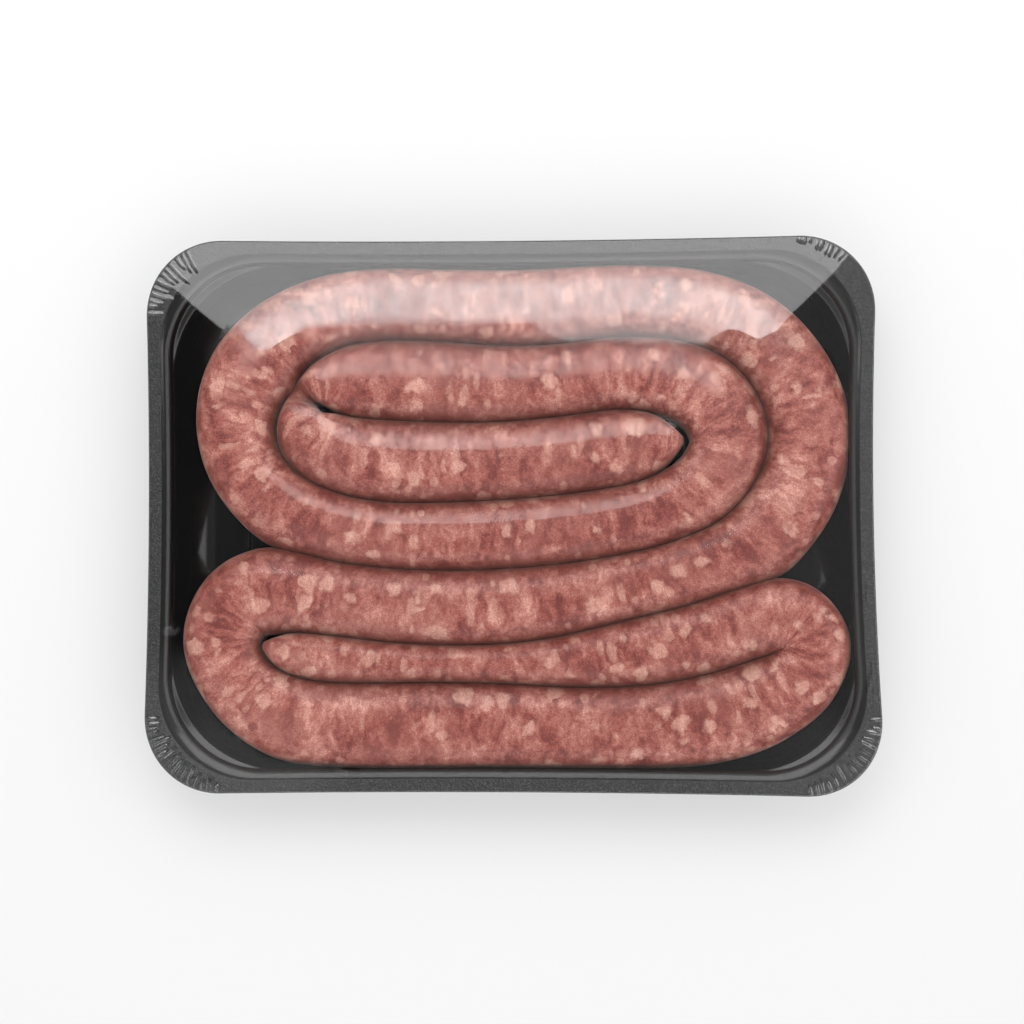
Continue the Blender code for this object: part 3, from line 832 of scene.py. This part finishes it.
def meat_material():
    """Coarse-ground pork under a moist natural casing: soft-edged lumps of lean and fat, fine grain, and
    streaks that run round the strand."""
    material, nodes = new_material("raw_sausage_meat")
    place = nodes.millimetres()
    along = nodes.attribute("along")
    around = nodes.attribute("around")
    tightness = nodes.attribute("tightness")

    coarse = nodes.noise(place, 6.0, 1.0)["Color"]
    coarse_parts = nodes.add("ShaderNodeSeparateColor", None, {"Color": coarse}).outputs
    fine = nodes.noise(place, 1.6, 1.0)["Color"]
    fine_parts = nodes.add("ShaderNodeSeparateColor", None, {"Color": fine}).outputs
    broad = nodes.noise(place, 20.0, 1.0)["Color"]
    broad_parts = nodes.add("ShaderNodeSeparateColor", None, {"Color": broad}).outputs
    warped = nodes.vector("ADD", place, nodes.vector("SCALE", nodes.vector("SUBTRACT", coarse, (0.5, 0.5, 0.5)), scale=6.0))
    warped = nodes.vector("ADD", warped, nodes.vector("SCALE", nodes.vector("SUBTRACT", fine, (0.5, 0.5, 0.5)), scale=1.8))

    strand_place = nodes.add("ShaderNodeCombineXYZ", None, {
        "X": nodes.math("MULTIPLY_ADD", coarse_parts[0], 2.5, along), "Y": nodes.math("DIVIDE", around, 4.0),
        "Z": nodes.math("MULTIPLY", fine_parts[2], 0.6),
    }).outputs[0]
    streaks = nodes.noise(strand_place, 1.7, 3.0, 0.65)["Fac"]
    lump_place = nodes.add("ShaderNodeCombineXYZ", None, {
        "X": nodes.math("MULTIPLY_ADD", fine_parts[0], 1.5, nodes.math("MULTIPLY_ADD", coarse_parts[1], 5.0, along)),
        "Y": nodes.math("DIVIDE", nodes.math("MULTIPLY_ADD", coarse_parts[2], 6.0, around), 1.5),
        "Z": 3.0,
    }).outputs[0]
    lumps = nodes.noise(lump_place, 4.6, 2.0, 0.6)["Fac"]
    strand_fat = nodes.add("ShaderNodeCombineXYZ", None, {
        "X": nodes.math("MULTIPLY_ADD", fine_parts[1], 1.2, along),
        "Y": nodes.math("DIVIDE", nodes.math("MULTIPLY_ADD", fine_parts[2], 2.0, around), 1.5), "Z": 0.0,
    }).outputs[0]
    speckle = nodes.noise(place, 0.5, 1.0, 0.6)["Fac"]
    shade = nodes.math("MULTIPLY_ADD", nodes.math("SUBTRACT", lumps, 0.5), 1.15, 0.49)
    shade = nodes.math("MULTIPLY_ADD", nodes.math("SUBTRACT", broad_parts[0], 0.5), 0.55, shade)
    streak_share = nodes.math("MULTIPLY_ADD", tightness, 0.30, 0.24)
    shade = nodes.math("MULTIPLY_ADD", nodes.math("SUBTRACT", streaks, 0.5), streak_share, shade)
    shade = nodes.math("MULTIPLY_ADD", nodes.math("SUBTRACT", fine_parts[1], 0.5), 0.30, shade)
    color = nodes.ramp(nodes.math("MULTIPLY_ADD", nodes.math("SUBTRACT", speckle, 0.5), 0.60, shade), LEAN)
    mauve = nodes.math("MULTIPLY", nodes.step(broad_parts[1], 0.48, 0.66), 0.35)
    color = nodes.mix(mauve, color, (0.26, 0.084, 0.068, 1.0))

    big_fat = fat_pieces(nodes, warped, 8.0, 0.58)
    small_fat = fat_pieces(nodes, strand_fat, 4.2, 0.70)
    fat_share = nodes.math("MAXIMUM", nodes.math("MULTIPLY", big_fat, 0.62), nodes.math("MULTIPLY", small_fat, 0.42))
    fat = nodes.mix(nodes.step(nodes.math("ADD", speckle, streaks), 0.80, 1.25), (0.50, 0.235, 0.180, 1.0),
                    (0.66, 0.395, 0.320, 1.0))
    color = nodes.mix(fat_share, color, fat)

    # painted shade: the colour is darkened towards a deep brown in the creases between packed strands
    crease = nodes.math("MULTIPLY", nodes.attribute("crease"), 0.68)
    color = nodes.mix(crease, color, (0.075, 0.020, 0.016, 1.0))

    relief_height = nodes.math("ADD", streaks, nodes.math("MULTIPLY", fine_parts[0], 0.8))
    normal = nodes.bump(relief_height, 0.12)
    shader = nodes.add("ShaderNodeBsdfPrincipled", None, {
        "Base Color": color, "IOR": 1.4, "Normal": normal,
        "Roughness": nodes.math("MULTIPLY_ADD", coarse_parts[2], 0.25, 0.27),
        "Sheen Weight": 0.25,
        "Sheen Roughness": 0.4, "Sheen Tint": (1.0, 0.72, 0.62, 1.0),
        "Subsurface Weight": 0.15, "Subsurface Radius": (1.0, 0.4, 0.3), "Subsurface Scale": 0.0012,
    })
    nodes.finish(shader)
    return material


def tray_material():
    """Black plastic: glossy where it was drawn down, satin and finely pebbled on the flange."""
    material, nodes = new_material("black_tray_plastic")
    place = nodes.millimetres()
    height = nodes.add("ShaderNodeSeparateXYZ", None, {"Vector": place}).outputs[2]
    flange = nodes.step(height, RIM_HEIGHT - 0.06, RIM_HEIGHT - 0.01)
    pebbles = nodes.cells(place, 0.9)["Distance"]
    grain = nodes.noise(place, 0.55, 2.0, 0.7)["Fac"]
    pebbled = nodes.math("MULTIPLY", nodes.math("ADD", pebbles, grain), flange)
    normal = nodes.bump(pebbled, 0.30)
    waves = nodes.noise(place, 9.0, 2.0)["Fac"]
    normal = nodes.bump(waves, 0.10, normal)
    roughness = nodes.math("MULTIPLY_ADD", flange, 0.22, 0.12)
    roughness = nodes.math("MULTIPLY_ADD", nodes.noise(place, 4.0, 3.0)["Fac"], 0.06, roughness)
    frosting = nodes.math("MULTIPLY", nodes.step(grain, 0.50, 0.66), flange)
    color = nodes.mix(frosting, (0.0025, 0.0025, 0.003, 1.0), (0.046, 0.046, 0.048, 1.0))
    shader = nodes.add("ShaderNodeBsdfPrincipled", None, {
        "Base Color": color, "Roughness": roughness, "IOR": 1.5, "Normal": normal,
        "Specular IOR Level": 0.5,
    })
    nodes.finish(shader)
    return material


def film_material():
    """Clear stretch film: see-through, with a mirror's share of the light by the angle it is seen at."""
    material, nodes = new_material("clear_stretch_film")
    clear = nodes.add("ShaderNodeBsdfTransparent", None, {"Color": (1.0, 1.0, 1.0, 1.0)})
    faces_seen = nodes.attribute("faces_seen")
    roughness = nodes.math("MULTIPLY_ADD", nodes.step(faces_seen, 1.0, 0.6), 0.07, 0.02)
    gloss = nodes.add("ShaderNodeBsdfGlossy", None, {"Roughness": roughness})
    grazing = nodes.add("ShaderNodeLayerWeight", None, {"Blend": 0.5}).outputs["Facing"]
    mirrored = nodes.math("MULTIPLY_ADD", nodes.math("POWER", grazing, 5.0), 0.7, 0.04)
    share = nodes.math("MULTIPLY", mirrored, faces_seen, clamp=True)
    mixed = nodes.add("ShaderNodeMixShader", None, {"Fac": share})
    material.node_tree.links.new(clear.outputs[0], mixed.inputs[1])
    material.node_tree.links.new(gloss.outputs[0], mixed.inputs[2])
    nodes.finish(mixed)
    return material


# ---- floor, light and camera -----------------------------------------------------------------------------
SOFTBOX_WIDTH = 1.014       # across the flats, m
SOFTBOX_PLACE = (-0.077, 0.698, 1.027)
SOFTBOX_WEST = 0.96         # its western half is this much narrower
SOFTBOX_LIGHT = 3.7


def build_floor():
    mesh = bpy.data.meshes.new("floor")
    mesh.from_pydata([(-4, -4, 0), (4, -4, 0), (4, 4, 0), (-4, 4, 0)], [], [(0, 1, 2, 3)])
    floor = bpy.data.objects.new("floor", mesh)
    bpy.context.scene.collection.objects.link(floor)
    material, nodes = new_material("white_floor")
    nodes.finish(nodes.add("ShaderNodeBsdfPrincipled", None, {
        "Base Color": (0.375, 0.375, 0.375, 1.0), "Roughness": 0.9, "Specular IOR Level": 0.0,
        "Emission Color": (1.0, 1.0, 1.0, 1.0), "Emission Strength": 0.415,
    }))
    mesh.materials.append(material)


def build_softbox():
    """An eight-sided softbox over the far side, which the film mirrors."""
    radius = SOFTBOX_WIDTH / 2 / cos(pi / 8)
    corners = []
    for side in range(8):
        turn = pi / 8 + pi / 4 * side
        east = 1.0 if cos(turn) > 0 else SOFTBOX_WEST
        corners.append((radius * east * cos(turn), radius * sin(turn), 0.0))
    mesh = bpy.data.meshes.new("softbox")
    mesh.from_pydata(corners, [], [tuple(range(8))[::-1]])
    softbox = bpy.data.objects.new("softbox", mesh)
    softbox.location = SOFTBOX_PLACE
    softbox.rotation_euler = (0.0, 0.0, -0.02)
    bpy.context.scene.collection.objects.link(softbox)
    material, nodes = new_material("softbox_light")
    nodes.finish(nodes.add("ShaderNodeEmission", None, {"Color": (1.0, 1.0, 1.0, 1.0), "Strength": SOFTBOX_LIGHT}))
    mesh.materials.append(material)


def build_world():
    """A bright studio round the sides that is dark overhead, with a dim patch of ceiling to the south-west."""
    world = bpy.data.worlds.new("studio")
    bpy.context.scene.world = world
    world.use_nodes = True
    nodes = Nodes(world.node_tree)
    direction = nodes.add("ShaderNodeTexCoord").outputs["Generated"]
    east, north, up = nodes.add("ShaderNodeSeparateXYZ", None, {"Vector": direction}).outputs
    high = nodes.math("MULTIPLY", nodes.step(up, 0.90, 0.80), nodes.step(up, 0.25, 0.55))
    sides = nodes.math("MULTIPLY_ADD", high, 1.1, nodes.math("MULTIPLY", nodes.step(up, 0.90, 0.80), 0.70))
    lean = nodes.math("MULTIPLY_ADD", north, -0.14, nodes.math("MULTIPLY_ADD", east, 0.35, 1.0))
    sides = nodes.math("MULTIPLY", sides, lean)
    overhead = nodes.math("MULTIPLY_ADD", nodes.step(east, 0.0, 0.10), 0.27, 0.08)
    overhead = nodes.math("MULTIPLY_ADD", nodes.step(north, -0.03, -0.05), 0.17, overhead)
    patch = nodes.math("MULTIPLY", nodes.step(north, 0.015, -0.02), nodes.step(east, -0.12, -0.16))
    overhead = nodes.math("MULTIPLY_ADD", patch, 0.35, overhead)
    strength = nodes.math("MAXIMUM", sides, overhead)
    back = nodes.add("ShaderNodeBackground", None, {"Color": (1.0, 1.0, 1.0, 1.0), "Strength": strength})
    output = nodes.add("ShaderNodeOutputWorld")
    world.node_tree.links.new(back.outputs[0], output.inputs["Surface"])


def build_camera():
    """Straight above the pack, as tilted and as long a lens as in a table-top shot from 0.8 m."""
    data = bpy.data.cameras.new("camera")
    data.lens = 78.125
    data.sensor_width = 36.0
    camera = bpy.data.objects.new("camera", data)
    camera.rotation_mode = "ZYX"
    camera.location = (0.046624, -0.054005, 0.825325)
    camera.rotation_euler = (radians(3.9238), radians(3.2698), radians(-0.1098))
    bpy.context.scene.collection.objects.link(camera)
    bpy.context.scene.camera = camera


bpy.context.scene.view_settings.view_transform = "Standard"
build_floor()
build_softbox()
build_world()
build_camera()
build_tray(tray_material())
line = strand()
skin = sweep(line)
sheet = film_sheet(press_crests(skin.copy()))
folds = corner_folds()
build_sausage(line, skin, sheet, meat_material())
build_film(sheet, folds, film_material())
